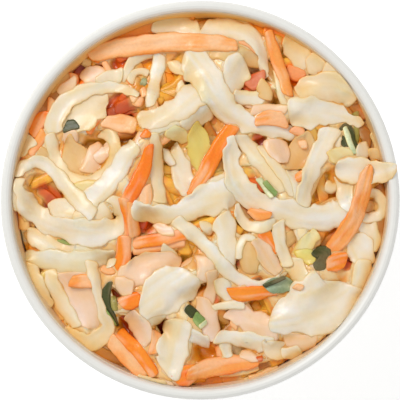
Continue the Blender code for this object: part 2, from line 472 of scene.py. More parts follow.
pile = Pile()
made = {"cabbage": [], "leaf": [], "carrot": [], "herb": []}     # the pieces' grids, unpressed
mottle = Field(5.5)
fine_mottle = Field(1.7)
swell = Field(6.5)
rib_field = Field(1.0)

# by kind of piece
THICKNESS = {"cabbage": 0.75, "carrot": 1.3, "herb": 0.45}
BEVEL = {"cabbage": 0.7, "carrot": 0.6, "herb": 0.3}            # width of the rounded edge
ACROSS_STEP = {"cabbage": 0.6, "carrot": 0.4, "herb": 0.6}      # spacing of the mesh across a piece
ALONG_ROUNDS = {"cabbage": 8, "carrot": 50, "herb": 5}          # how stiffly it lies on what is below
ACROSS_ROUNDS = {"cabbage": 3, "carrot": 20, "herb": 3}
RAGGED = {"cabbage": 0.20, "carrot": 0.10, "herb": 0.14}        # unevenness of the edge, by width
RIB_WIDTH = {"cabbage": 0.9, "carrot": 0.6, "herb": 0.6}
RIB_HEIGHT = {"cabbage": 0.30, "carrot": 0.36, "herb": 0.36}
FILM_SHARE = {"cabbage": 0.0, "carrot": 0.55, "herb": 0.12}     # how much dressing whitens it
WARMTH = {
    "cabbage": np.array([0.01, 0.09, 0.26]),
    "carrot": np.array([0.0, 0.14, 0.30]),
    "herb": np.array([0.3, 0.25, 0.35]),
}
STREAK = {
    "cabbage": np.array([0.02, 0.08, 0.22]),
    "carrot": np.array([0.0, 0.27, 0.55]),
    "herb": np.array([-0.4, -0.4, -0.5]),
}

# of every piece
STEP = 0.7                        # spacing of the mesh along a piece
COARSE_STEP = 1.3                 # and along a piece of the fill
COARSE_ACROSS_STEP = 1.2
EDGE_MARGIN = 0.30                # the edges' rounding hides this much of a piece's width
MOST_RAGGED = 0.75
END_ROUNDNESS = 2.6               # a higher power makes squarer ends
RIB_LENGTH = 9.0
SWELL_HEIGHT = 0.35               # broad waves in the cabbage
SHOW_ABOVE = 0.20                 # a piece's top stays this far above what lies under it
LEAF_WIDTH = 5.2                  # a wider piece of cabbage counts as a leaf
LIGHT_FROM = np.array([-0.64, 0.77])   # pieces are warmer on the side turned away from it
SHADY_SIDE = 0.55                 # how much warmer
SHADY_WIDTH = 3.2                 # less so on pieces wider than twice this


def cap_length(half_width, length):
    """Length of a piece's rounded end."""
    return max(0.3, min(half_width * 0.5, length * 0.3))


def lay_out(kind, widths, line, cut, coarse, over_rim):
    """A piece's outline as a grid: x and y, its places along and shares across (u), and its rounding."""
    middle, places = smooth_path(np.array(line) * SPREAD, COARSE_STEP if coarse else STEP)
    length = places[-1]
    half = stations(widths, places, length) / 2 + EDGE_MARGIN
    widest = half.max()
    ragged = min(MOST_RAGGED, RAGGED[kind] * widest)
    left = half + ragged * torn(places)
    right = half + ragged * torn(places)
    from_start = places / cap_length(half[0], length)
    from_end = (length - places) / cap_length(half[-1], length)
    nearness = np.minimum(from_start, from_end).clip(0.03, 1)
    rounding = (1 - (1 - nearness) ** END_ROUNDNESS) ** (1 / END_ROUNDNESS)
    across = max(6, int(2 * widest / (COARSE_ACROSS_STEP if coarse else ACROSS_STEP[kind])) + 4)
    u = np.sin(np.linspace(-1, 1, across) * math.pi / 2)
    direction = np.gradient(middle, axis=0)
    direction /= np.linalg.norm(direction, axis=1)[:, None]
    side = np.stack([-direction[:, 1], direction[:, 0]], axis=1)
    reach = np.where(u[None, :] > 0, left[:, None], right[:, None]) * u[None, :] * rounding[:, None]
    slant = (cut[0] * np.clip(1 - places / (2 * half[0]), 0, 1)
             + cut[1] * np.clip(1 - (length - places) / (2 * half[-1]), 0, 1))[:, None] * reach
    x = middle[:, :1] + side[:, :1] * reach + direction[:, :1] * slant
    y = middle[:, 1:] + side[:, 1:] * reach + direction[:, 1:] * slant
    if not over_rim:
        radius = np.maximum(np.hypot(x, y), 1e-6)
        limit = wall_radius(crown(x, y)) - WALL_CLEARANCE
        squeeze = np.where(radius > limit, limit / radius, 1)
        x, y = x * squeeze, y * squeeze
    return SimpleNamespace(x=x, y=y, u=u, places=places, side=side, reach=reach,
                           rounding=rounding[:, None], widest=widest)


def resting_level(kind, support, thickness, coarse, over_rim):
    """Where a piece lies on the support below it: stiffer kinds follow it less, and bridge its hollows."""
    rest = smoothed(support, ALONG_ROUNDS[kind] // (2 if coarse else 1), ACROSS_ROUNDS[kind])
    if over_rim:
        rest = smoothed(np.maximum(smoothed(support, 80, 3), support), 12, 3)
    elif kind == "carrot":
        rest = rest + np.clip(np.quantile(support - rest, 0.6), 0, 0.8)
    else:
        rest = smoothed(np.maximum(rest, support - 0.3), 3, 2)
    return np.maximum(rest, support - 0.7 * thickness)


def surface_tint(kind, colour, sheet, ribs, profile, patch, darken, warm):
    """A piece's colours on top: mottled, streaked, filmed with dressing, and golden at the edges and sides
    as painted shade, most on the side turned from the light.
    """
    shade = np.clip(patch * 1.5 - 0.45, 0, 1)[..., None]
    streak = np.clip(ribs * 2.2 - 0.7, 0, 1)[..., None]
    tint = colour * (1 - shade * WARMTH[kind] - streak * STREAK[kind] * (1 - darken))
    spots = mottle.read(1.4 * sheet.x + 50, 1.4 * sheet.y)
    film = np.clip((0.5 * ribs + 0.5 * spots - 0.48) * 6, 0, 1)[..., None]
    film = film * FILM_SHARE[kind] * (1 - darken)
    tint = tint * (1 - film) + DRESSING_FILM * film
    # painted shade: golden sides, set per piece, and more on the side turned from the light
    right_warm, left_warm = rng.uniform(0, 0.2, 2) if warm is None else warm
    flank = right_warm * np.clip(-sheet.u, 0, 1) + left_warm * np.clip(sheet.u, 0, 1)
    shady = np.clip(-(sheet.side @ LIGHT_FROM)[:, None] * sheet.u[None, :], 0, 1)
    shady_share = SHADY_SIDE * min(1, SHADY_WIDTH / sheet.widest)
    flank = (flank[None, :] + shady_share * shady ** 1.5)[..., None]
    tint = tint * (1 - np.minimum(1, flank) * FLANK_SHADE)
    # painted shade along the edges
    brink = (1 - profile * sheet.rounding)[..., None]
    return tint * (1 - brink * BRINK_SHADE)


def piece(tint, widths, *line, lift=0.0, cup=None, tilt=None, over_rim=False, coarse=False, darken=0.0,
          cut=None, soak_and_shade=0.0, warm=None):
    """Lays one strip or leaf along a line, on top of what is there.

    widths are spread evenly over its length. cup bends its edges up, or down where negative, and tilt
    raises its left edge; both are slopes. lift raises the whole piece, darken dips it in dressing and
    darkens it as painted shade where it lies deep, cut slants its two ends, and soak_and_shade gives it
    the colour of the gaps it lies in, painted shade partly from the dressing pooled there. warm is how
    golden its right and left sides turn, as painted shade. Only a piece that is over_rim may pass the
    cup's wall, and a coarse one has a wider mesh.
    """
    kind, *colour = TINTS[tint]
    # darken: the dressing, and painted shade on a piece that lies deep
    colour = linear(*colour) * (1 - darken * DIPPED_AND_SHADED)
    thickness = THICKNESS[kind] * rng.uniform(0.85, 1.15)
    cup = rng.uniform(-0.08, 0.06) if cup is None else cup
    tilt = rng.uniform(-0.08, 0.08) if tilt is None else tilt
    cut = rng.uniform(-0.7, 0.7, 2) if cut is None else cut
    sheet = lay_out(kind, widths, line, cut, coarse, over_rim)
    x, y, u, rounding, widest = sheet.x, sheet.y, sheet.u, sheet.rounding, sheet.widest
    support = pile.read(x, y)
    level = resting_level(kind, support, thickness, coarse, over_rim) + thickness * 0.18 + lift
    level = level + widest * (cup * (u ** 2 - 0.35)[None, :] + tilt * u[None, :])
    fibre = sheet.places[:, None] / RIB_LENGTH + 40 * rng.random()
    ribs = rib_field.read(fibre, sheet.reach / RIB_WIDTH[kind])
    if kind == "cabbage":
        level = level + SWELL_HEIGHT * (swell.read(x, y) - 0.5) * min(1, widest / 2)
    level = level + RIB_HEIGHT[kind] * (ribs - 0.5) * rounding
    edge = np.clip((1 - np.abs(u)) * widest / BEVEL[kind], 0, 1)
    profile = (1 - (1 - edge) ** 2) ** 0.6
    profile[0] = profile[-1] = 0
    profile = profile[None, :]
    body = thickness / 2 * profile * rounding ** 0.5
    top = level + body
    raised = np.maximum(top, support + SHOW_ABOVE * profile * rounding)
    level = level + raised - top
    pile.cover(x, y, raised)
    patch = mottle.read(x + 31 * rng.random(), y) * 0.75 + fine_mottle.read(x, y) * 0.35
    top_tint = surface_tint(kind, colour, sheet, ribs, profile, patch, darken, warm)
    # painted shade: a piece lying in a gap takes the gap's colour
    if soak_and_shade:
        share = soak_and_shade * pile.read(x, y, pile.gap_share)[..., None]
        gap_tint = pile.read(x, y, pile.gap_tint) * (0.75 + 0.5 * patch[..., None])
        top_tint = top_tint * (1 - share) + gap_tint * share
    group = "leaf" if kind == "cabbage" and widest * 2 > LEAF_WIDTH else kind
    # the underside is a darker copy of the top colour: painted shade
    made[group].append((x, y, level, body, top_tint, top_tint * UNDERSIDE_SHADE))


# ---------------- the fill between and under the top pieces

def anywhere(lengths, widths):
    """A source of bent strips all over the heap: a line, its width and whether it is in the cup."""
    def draw():
        radius = (MOUTH_RADIUS - 1.5) * math.sqrt(rng.random())
        around = rng.uniform(0, 2 * math.pi)
        heading = rng.uniform(0, 2 * math.pi)
        bend = rng.uniform(-1.6, 1.6)
        length = rng.uniform(*lengths)
        width = rng.uniform(*widths)
        along = np.linspace(-0.5, 0.5, 5)
        turned = heading + bend * (along[1:] + along[:-1]) / 2
        steps = length / 4 * np.stack([np.cos(turned), np.sin(turned)], axis=1)
        line = np.concatenate([np.zeros((1, 2)), np.cumsum(steps, axis=0)])
        line = line - line[2] + radius * np.array([math.cos(around), math.sin(around)])
        return line, width, np.hypot(*line.T).max() <= MOUTH_RADIUS - 1.4
    return draw


def along_wall(radii, widths, arc):
    """A source of strips that follow the wall, between two directions given in degrees."""
    def draw():
        middle = math.radians(rng.uniform(*arc))
        radius = rng.uniform(*radii)
        drift = rng.uniform(-2.4, 1.2)
        width = rng.uniform(*widths)
        span = rng.uniform(6, 16) / radius
        line = []
        for share in (-0.5, -0.25, 0, 0.25, 0.5):
            angle = middle + span * share
            reach = radius + drift * 4 * share * share
            line.append((reach * math.cos(angle), reach * math.sin(angle)))
        return np.array(line), width, True
    return draw


def has_room(line, width, room):
    """Whether a strip keeps this far out of the gaps, and the heap is not yet full there."""
    track, _ = smooth_path(line, 1.2)
    x, y = track.T
    if (pile.read(x, y) - crown(x, y)).max() > -FILL_ROOM:
        return False
    return room is None or pile.read(x, y, pile.to_gap).min() > width / 2 + room


def lay_fill(count, draw, tints, darken, room=None, soak_and_shade=0.0):
    """Lays so many random strips where there is room, also in the gaps if room is None."""
    laid = 0
    for _ in range(count * 20):
        if laid == count:
            break
        line, width, in_cup = draw()
        tint = tints[rng.integers(len(tints))]
        if in_cup and has_room(line, width, room):
            piece(tint, (width * 0.75, width, width * 0.7), *line, coarse=True, darken=darken, soak_and_shade=soak_and_shade)
            laid += 1


# ---------------- the top pieces, region by region

def lay_upper_left():
    piece("orange", (2, 2.8, 2), (-28, 37.4), (-26, 36), (-24.2, 34.6))
    piece("tan", 2.6, (-37, 27.5), (-34, 29.6), (-31.6, 31))
    piece("blush", (1.8, 2.4, 2), (-36, 24.8), (-36.4, 20.4), (-37.2, 16.2))
    piece("orange", (2, 3, 2.2), (-38, 21.8), (-39.6, 18.8), (-41.4, 15.8))
    piece("peach", 2, (-38, 16.6), (-39.8, 13.8), (-41.8, 11))
    piece("white", 3.4, (-45, 11.4), (-43.2, 13.8), (-40.8, 15.2))
    piece("tan", 2.4, (-39.6, 12.2), (-37, 10.4))
    piece("cream", 1.6, (-29.8, 34.8), (-28.2, 34), (-27, 33))
    piece("white", (2, 4, 4.2, 3.4), (-12, 42.2), (-8, 43), (-4, 42.8), (0.2, 41.6), warm=(0, 0.2))
    piece("orange", 1.4, (-31.2, 31.2), (-30.8, 29.2), (-31.2, 27.4))
    piece("pink", (3, 5, 3.4), (-28.6, 32.2), (-26.4, 30.8), (-23.8, 28.8))
    piece("blush", 1, (-23.6, 34), (-22.2, 31.4))
    piece("cream", (1.6, 2, 2.4, 3), (-19.6, 28.4), (-18.2, 31.2), (-16.6, 34), (-13, 36.2), (-9, 36.8))
    piece("cream", (3, 4, 3), (-25.6, 28.4), (-22.4, 29.6), (-18.8, 30.8))
    piece("pink", (1, 2.6, 3.2), (-30.4, 30.2), (-32, 28.2), (-34, 25.6))
    piece("cream", 1.4, (-17.2, 28.6), (-16.2, 31), (-14.4, 31.6), (-12.6, 30.8))
    piece("sage", 1.6, (-14.6, 29.1), (-13, 28.8))
    piece("peach", 2, (-15.6, 22.8), (-14.6, 25.2))
    piece("blush", 1.6, (-16.8, 24.2), (-15.4, 26.2))
    piece("peach", 1.2, (-14.2, 27.4), (-13.4, 25.2))
    piece("orange", 1.1, (-23.4, 20.8), (-25.8, 18.8), (-27.4, 16.2))
    piece("blush", (2.2, 4, 3.6), (-23.8, 19.4), (-19.6, 18.8), (-15.4, 18))
    piece("cream", (1.4, 6.4, 7.8, 6.4, 4), (-22.4, 24.6), (-25.4, 23), (-28.2, 21), (-30.6, 18.8),
          (-31.8, 16.6), warm=(0.3, 0))
    piece("pink", 2.8, (-33.6, 15.4), (-29.8, 15.6))
    piece("dark", 2.1, (-33.3, 17.8), (-31.6, 18.3), (-29.8, 18.6))
    piece("white", (0.8, 1.8, 2.4, 3, 3.6, 4.2, 4.2, 3.6), (-14.8, 25.4), (-18.4, 27), (-22, 27.6),
          (-26.2, 27.2), (-30.4, 25.8), (-33.6, 23.2), (-35.4, 20), (-35.8, 16.2))


def lay_left():
    piece("tan", (5, 7.4, 6), (-33.4, 13), (-30.8, 10), (-28.2, 6.6), warm=(0.3, 0.3))
    piece("pink", (4, 6, 5), (-27.4, 6.6), (-25.4, 9.4), (-23.4, 12.4), warm=(0.2, 0.4))
    piece("pink", (2, 2.6, 3, 2), (-25.6, 9.6), (-24, 11), (-22.4, 12.8), (-22.2, 14.6))
    piece("cream", (2, 2.6, 2.6, 2.4, 2.4, 2.2, 2.2, 2.6, 2), (-36.8, 16.4), (-36, 12), (-34.8, 8.8),
          (-32.8, 6.2), (-30.4, 4.9), (-27.6, 4.5), (-24.8, 5.6), (-22.4, 7.8), (-20.9, 10.6),
          (-20.8, 13.4), (-22.2, 15.6), (-24.4, 16.6))
    piece("yellow", 3, (-33, 1.4), (-28, 3), (-24, 3.2))
    piece("white", (3, 4.6, 4.4, 3), (-37, -2.6), (-33.4, -2), (-30, -3), (-27.2, -4.6))
    piece("cream", (3, 6, 7, 6), (-31, -5), (-27.4, -3.6), (-24, -3), (-21.6, -3))
    piece("cream", (3, 4.6, 4, 4.4, 3), (-42.6, -8.2), (-38.6, -10.2), (-35, -12.4), (-29.6, -13.2),
          (-25.6, -13.6))
    piece("leaf", (1, 1.8, 1.2), (-34.8, -9.4), (-33, -9.7), (-31, -10.2))
    piece("grey", (2.4, 4, 6, 5.6, 4, 2), (-44, -14.6), (-39.6, -14.6), (-34.6, -15.2), (-29.4, -15.4),
          (-24.4, -14.2), (-20.6, -12.8))
    piece("white", (3.4, 4.2, 4.6, 4.8, 4.6, 4), (-15.6, 13.9), (-18, 10.4), (-20.2, 7), (-22.6, 4),
          (-25, 1.4), (-28, -1))
    piece("white", (1.6, 2.8, 4.8, 4.8, 4.4, 4.8, 6.2, 6.6, 5.4, 3.6, 2.8, 2.4), (-44.5, 5.4),
          (-43.6, 1.4), (-41.2, -2.4), (-38, -5.2), (-34.3, -6.7), (-30.7, -7.4), (-27, -8),
          (-23.4, -7.7), (-20.2, -6.4), (-18.6, -4), (-19.8, -1.4), (-21.6, 0.8))
    piece("white", (2, 2.6, 2.8, 2.8, 3.4, 3.8, 3.6, 3), (-44.4, 5.6), (-43.4, 8), (-41.2, 9.2),
          (-38.4, 9.2), (-36.3, 7.6), (-34, 4.8), (-31.6, 2), (-28.6, -1), (-25.6, -4))


def lay_top():
    # a tan strip where the cabbage lies in shade: painted shade
    piece("tan", (2.6, 3.6, 3.4), (2.4, 35.8), (8, 35.6), (15, 34.2))
    piece("cream", (2, 2.8, 2), (-7, 34.2), (-5.6, 32.2), (-3.6, 31.4))
    piece("cream", (0.8, 2, 2.2), (-5, 29), (-4.6, 27), (-4.8, 25.2))
    piece("peach", (2.2, 2, 1.2), (9.8, 39.4), (12.4, 38.4), (14.2, 36.2))
    piece("white", (4, 5.4, 5, 4.4, 3.4, 2.6, 2, 1.6), (0.4, 42), (5, 42), (9.6, 41.4), (12.8, 39.6),
          (14.9, 36.8), (15.8, 33.4), (15.9, 29.6), warm=(0.1, 0.2))
    piece("white", (2.8, 2.8, 2.6, 2.6, 2.2), (-9.8, 36), (-10.2, 33), (-11, 29), (-11.6, 25),
          (-12.2, 22.6), warm=(0.0, 0.5))
    piece("cream", (3, 3.4, 3), (-12, 17.4), (-7, 18.6), (-2, 20.6))
    piece("white", (2.2, 3.6, 4), (-4.4, 17.6), (-1, 19.4), (2.2, 22.4), warm=(0.3, 0))
    piece("white", (3.6, 4.6, 5.4, 6.4, 6.4, 5), (-15.1, 18.9), (-11.4, 19.6), (-7.4, 21), (-3.6, 23.4),
          (-0.6, 26.2), (1.2, 29.4), warm=(0.4, 0.1))
    # darkened as painted shade of the gap it lies in
    piece("red", (3, 3.6, 3), (11, 28.2), (13.4, 28.8), (16, 30.2), darken=0.6)
    piece("white", (4.4, 6.6, 6.4, 5.4, 4), (10.8, 34.4), (9.4, 32), (8, 29.6), (6.8, 27), (6, 24.4),
          warm=(0.1, 0.4), cut=(0.5, 0))
    piece("white", (2.8, 3.4, 3.2), (8, 25.2), (12, 24.9), (16, 24.6), warm=(0.3, 0))
    piece("white", (5, 7.4, 7.8, 7, 6, 5.2, 4.4, 3.4, 2.8, 2.4, 1), (-3.6, 36.4), (-1.6, 33.8),
          (0.6, 30.8), (2.4, 27.8), (4.2, 25), (6, 22.4), (8.8, 20.2), (12, 18.6), (16, 17.5),
          (20.4, 16.6), (25.6, 16.3), warm=(0.3, 0.1))
    piece("cream", 1.4, (18.6, 32), (19.4, 28), (20, 24.6), (21, 22.6))
    piece("blush", (2.6, 4, 4.4, 4.4, 4.2, 4, 3.6, 2.4), (-27.4, 35.2), (-22, 36.9), (-15, 38),
          (-8, 38.6), (-1, 38.5), (4, 38.3), (9.2, 37.6), warm=(0.8, 0.1))


def lay_upper_right():
    piece("cream", (2.6, 4.6, 5, 4), (20.6, 39.8), (22.8, 37.4), (25, 34.8), (26.2, 32.4), warm=(0.6, 0))
    piece("cream", (3, 4.4, 3.6), (26.4, 35.2), (28.6, 33), (30.6, 30.6))
    piece("cream", (3, 4.8, 4.6, 3), (30.2, 32.6), (32.6, 30.6), (34.8, 28.2), (36.6, 25.8))
    piece("orange", (2.2, 3, 2.4), (21.4, 31.8), (23.6, 30.8), (26, 30.4), darken=0.3)
    piece("tan", (2.4, 3, 2.4), (14.4, 29), (15.6, 26.8), (16, 24.4), warm=(0.5, 0))
    piece("peach", (1.8, 2.2, 2.5, 2.5, 2.3, 2), (16.6, 41.5), (17.8, 37.6), (19.4, 32.8), (20.8, 28.8),
          (21.5, 25.4), warm=(0.2, 0.5))
    piece("cream", (3.4, 6.4, 8, 6.4, 3), (23.6, 26), (27.4, 27), (31.4, 27.2), (35, 25.8), (38, 24.2),
          warm=(0.4, 0))
    piece("pink", 1.8, (12.4, 21.8), (17, 22.4), (21.4, 22))
    piece("peach", (2, 3.4, 3.4), (13.4, 19.4), (17, 20), (21.2, 19.4))
    piece("orange", (1.6, 2, 1.2), (22.4, 17.6), (24, 17), (25.6, 16.2))
    piece("olive", (1.4, 2, 1.8, 1), (38, 21.6), (37.8, 18.6), (38, 15), (37.8, 11))
    piece("dark", (3, 4, 3.4, 1.6), (34.8, 18.4), (35.6, 16), (36.8, 13.4), (38, 10.6), lift=0.2)
    piece("pale", (0.6, 1, 0.9, 0.5), (35.4, 18), (36.1, 15.8), (37.1, 13), (37.9, 11.2), lift=0.2)
    piece("white", (6.2, 7.4, 7, 5.4, 3.6, 2.2, 1.2), (21.4, 21.8), (25.4, 21.2), (29.4, 21.4), (33, 21),
          (36, 20.2), (38.2, 19.4), (40, 18.3), warm=(0.3, 0))
    piece("tan", (4, 7, 5), (27.6, 15.6), (25, 11.6), (22.6, 7.4), warm=(0.2, 0.2))
    piece("blush", 1.8, (24.2, 13.4), (26.2, 13.8))
    piece("grey", 1.6, (42.4, 17), (43.6, 13.6), (44.1, 10.4))
    piece("cream", (2.6, 3, 3), (33.2, 16.6), (33, 13), (32.6, 8.6))
    piece("pink", (3, 4.8, 4.6, 2.4), (17.2, 15), (18.7, 12.8), (20.2, 10.4), (20.8, 9))
    piece("white", (4.8, 4.4, 4.2, 4, 3.6, 3.4, 3), (32.3, 17.8), (30.7, 14.3), (28.9, 11), (27.5, 7.6),
          (26.2, 4), (25.2, 0.6), (24.6, -1.4), warm=(0, 0.3))


def lay_right():
    piece("yellow", (3, 5, 4), (32.6, 12.6), (34.6, 10.6), (36.6, 8.6), warm=(0.4, 0))
    piece("white", (2.6, 3.4, 3), (39.6, 14.2), (39.8, 12), (40.2, 9.8))
    piece("white", (2, 2.8, 2.4), (42.4, 12.8), (43.2, 11.2), (43.8, 9.6))
    piece("cream", (2, 2.6, 2), (30.6, 3.6), (32.4, 2.8), (34, 3.4))
    piece("white", (3.6, 3.8, 3.4, 3), (35, 6.4), (35.4, 3), (35.8, -0.6), (36, -3), warm=(0.1, 0.3))
    piece("white", (3, 4.4, 4.4, 3.6), (41, -4.4), (41.4, -7), (41.6, -9.6), (41.2, -12))
    piece("white", (4, 6, 6.6, 6, 4), (37.6, -8.6), (38.6, -10.6), (39.6, -12.6), (40, -14.4),
          (39.6, -16), warm=(0.1, 0.3))
    piece("tan", (2, 2.6, 2), (40.8, -0.6), (41.8, -2), (42.4, -3))
    piece("white", (1.8, 2.2, 2.2, 2.2, 2), (40.6, 1.8), (43.6, 1.2), (45, -1), (44.2, -3.4),
          (41.6, -4.4), (39.6, -4))
    piece("white", (3, 5.6, 6.2, 6, 5.2, 4, 1.8), (33, 7.8), (36.4, 7.4), (39.8, 6.9), (42.8, 6.7),
          (45, 7), (46.6, 7.6), (47.7, 8.4), over_rim=True, lift=0.8, cup=-0.04, tilt=0, warm=(0.5, 0))
    piece("peach", (0.8, 2.6, 3.6, 3.4, 3.6, 4, 4, 3.6, 2.8), (41.6, 8.6), (40.8, 6.4), (40.1, 3.6),
          (39.4, 0.6), (38.5, -2.4), (37, -5.8), (34.9, -8.9), (33, -11.2), (31.4, -13), warm=(0, 0.3))


def lay_centre():
    piece("cream", (2, 2.8, 3, 2.6), (-11, 16.4), (-10.6, 10), (-10.4, 4), (-9.6, -0.8), warm=(0.2, 0.4))
    piece("orange", 1.8, (-13.6, 15), (-12.4, 16.8))
    piece("blush", (2.4, 3, 2), (-13.4, 3.4), (-13.2, 1), (-13.4, -1.6))
    piece("deep", (1.4, 2.4, 2.9, 3.1, 2.9, 2.4), (-12.2, 13.4), (-12.8, 10.2), (-13.8, 7), (-15.2, 4),
          (-16.8, 1.2), (-18.2, -1.6), warm=(0.1, 0.3))
    piece("yellow", (3, 3.4, 2), (-7.6, 17.2), (-5, 16), (-3.4, 14))
    piece("green", (4, 5.4, 5, 2.6), (-2.2, 17.4), (-0.6, 14.2), (-0.4, 11), (-1.2, 7.6), warm=(0.5, 0))
    piece("white", (2.4, 3.6, 4.4, 5, 4.8, 3), (-6.6, 13.4), (-5.6, 11), (-5, 8.4), (-4.2, 5.8),
          (-3.2, 3), (-2.8, 0.6), warm=(0.5, 0.1))
    piece("white", (1, 1.6, 1.4), (-8.4, 12.6), (-7.8, 10.6), (-6.6, 8.4))
    piece("cream", (2.4, 3.4, 2.6), (2.6, 4), (5, 4.4), (7, 5.2))
    piece("orange", (3, 3.2, 3.4, 3.4, 2.6, 0.8), (8.2, 18.2), (5.6, 14.4), (3.4, 10.6), (1.2, 6.6),
          (-0.8, 3.6), (-3, 1.2), warm=(0.4, 0))
    piece("cream", (2.4, 3.6, 3.8, 3.4, 2.8), (9.6, 16), (12, 12.8), (14.6, 9.6), (17.4, 5.8), (20, 1.8))
    piece("cream", (1.5, 2.2, 2.4, 1.4), (14.8, 13.4), (18, 8.8), (21.2, 4.6), (22.6, 0.8))
    piece("white", (2.4, 2.6, 2), (22.2, 7.8), (23.7, 4.4), (24, 0.8))
    piece("peach", (1.4, 1.8, 1), (23.2, 5.2), (24.4, 5.8), (25.4, 6.6))
    piece("orange", (2, 2, 1.6), (-18.6, 0.6), (-17.4, -4), (-17.2, -8.8))
    piece("peach", 2.2, (-16.4, -0.6), (-16.2, -5.4), (-15.8, -9))
    piece("white", (3, 4.4, 4.4, 4.2, 6, 7.8, 7.6, 5), (-16.6, -1.7), (-13, -3.1), (-9, -3.4), (-5, -2.9),
          (-1, -1.2), (3, 0.4), (6.4, 1.7), (9.4, 1.8), warm=(0.35, 0))
    piece("white", (1, 2.8, 3.8, 4.8, 5, 4.8, 5, 5.6, 5.8, 5.6, 6.4, 6.8, 4), (7.8, 15.8), (7.7, 12.4),
          (7.8, 9), (8.6, 5.4), (10.6, 2.2), (13.6, -0.2), (16.6, -1.6), (20, -2.5), (23.4, -3.6),
          (27, -4.5), (30.7, -4.2), (34.3, -3.2), (37, -1.4), warm=(0.2, 0.1))
    piece("pale", 1.1, (14.2, 5.4), (15.8, 3.2), (17.6, 0.6), lift=0.4)
    piece("leaf", 0.8, (15.6, 4.6), (18.6, 1.2), lift=0.4)


def lay_lower_centre():
    piece("orange", (3, 3.2, 3.2), (-18.4, -8.6), (-18.6, -13), (-19.8, -17.6), warm=(0, 0.5))
    piece("peach", (1.6, 2, 1.8), (-16.4, -12.4), (-10, -11.4), (-3.6, -10.2))
    piece("orange", (2.2, 2.6, 2.6, 2.4), (-16.4, -10.6), (-11.6, -9.8), (-7, -9), (-3.2, -8))
    piece("pink", (1.4, 2.2, 1.6), (-11, -5.8), (-9.4, -7), (-6.4, -7.4))
    piece("cream", (1.6, 2.2, 1.6), (-9.4, -11.4), (-7.4, -13), (-6, -14.8))
    piece("cream", (1.8, 2.4, 1.8), (0, -6.4), (1.8, -6.8), (3.2, -7.6))
    piece("pink", (3, 4, 3.6), (0.6, -13.6), (1.4, -17), (1.2, -20))
    piece("white", (4, 5, 4.4, 3, 2), (4.8, -3.6), (6, -7), (6.6, -10.4), (7, -13.2), (7.4, -16),
          warm=(0, 0.4))
    piece("tan", (3.4, 4.2, 3.4), (11.8, -9.6), (12, -14), (12.4, -18), warm=(0.4, 0))
    piece("white", (1, 1.4, 1.6, 1), (13.6, -9.6), (10.8, -9.2), (9.6, -11.6), (9.4, -14.4))
    piece("orange", (3, 2.6, 1.4), (15.2, -7.4), (16.8, -10), (18.8, -13))
    piece("pink", (2, 3.4, 3.8, 2), (13.4, -9.4), (15.6, -12.6), (17.8, -16), (19.2, -18))
    piece("pink", (4, 7, 6.4, 5), (-20, -19.8), (-15, -17.4), (-10, -15.6), (-5, -16.6), warm=(0.3, 0))
    piece("orange", (3, 3.6, 2.6), (-19.4, -25.6), (-16.2, -24.3), (-14, -23.6))
    piece("cream", (2.6, 4.4, 3), (-14.4, -27.4), (-11.6, -28.4), (-8.6, -28.8), warm=(0.3, 0))
    piece("white", (3, 8, 11, 10, 6), (-14.8, -27), (-11.4, -24.4), (-8, -22), (-4.8, -20), (-1.8, -17.8),
          warm=(0.2, 0))
    piece("pink", (2.4, 2.2, 2.6, 2.8, 2.6, 1.6), (2.6, -17), (3, -21), (2, -24.5), (1.7, -28),
          (2.8, -31.5), (3.6, -34))
    piece("white", (3, 3.4, 2), (4.6, -19), (6.4, -22.5), (8, -25.3))
    piece("white", 1.1, (3, -26.1), (6, -26.1), (10, -25.2))
    piece("white", (2.6, 2.8, 2.8, 2.8, 3, 2.6, 2, 1), (-6.2, -4.6), (-2.4, -7.6), (1.6, -11.2),
          (5, -15.2), (8.4, -18.6), (12, -20.7), (15.6, -20.6), (19.6, -18.6), warm=(0.3, 0))
    piece("peach", (1, 2.6, 1), (11.8, -2.4), (14, -3.6), (17.4, -3.8))
    piece("white", (1, 1.8, 2.2, 2.2, 2.4), (9, -0.8), (9.8, -3.8), (11.4, -6), (14.4, -6.8),
          (18.6, -5.4))


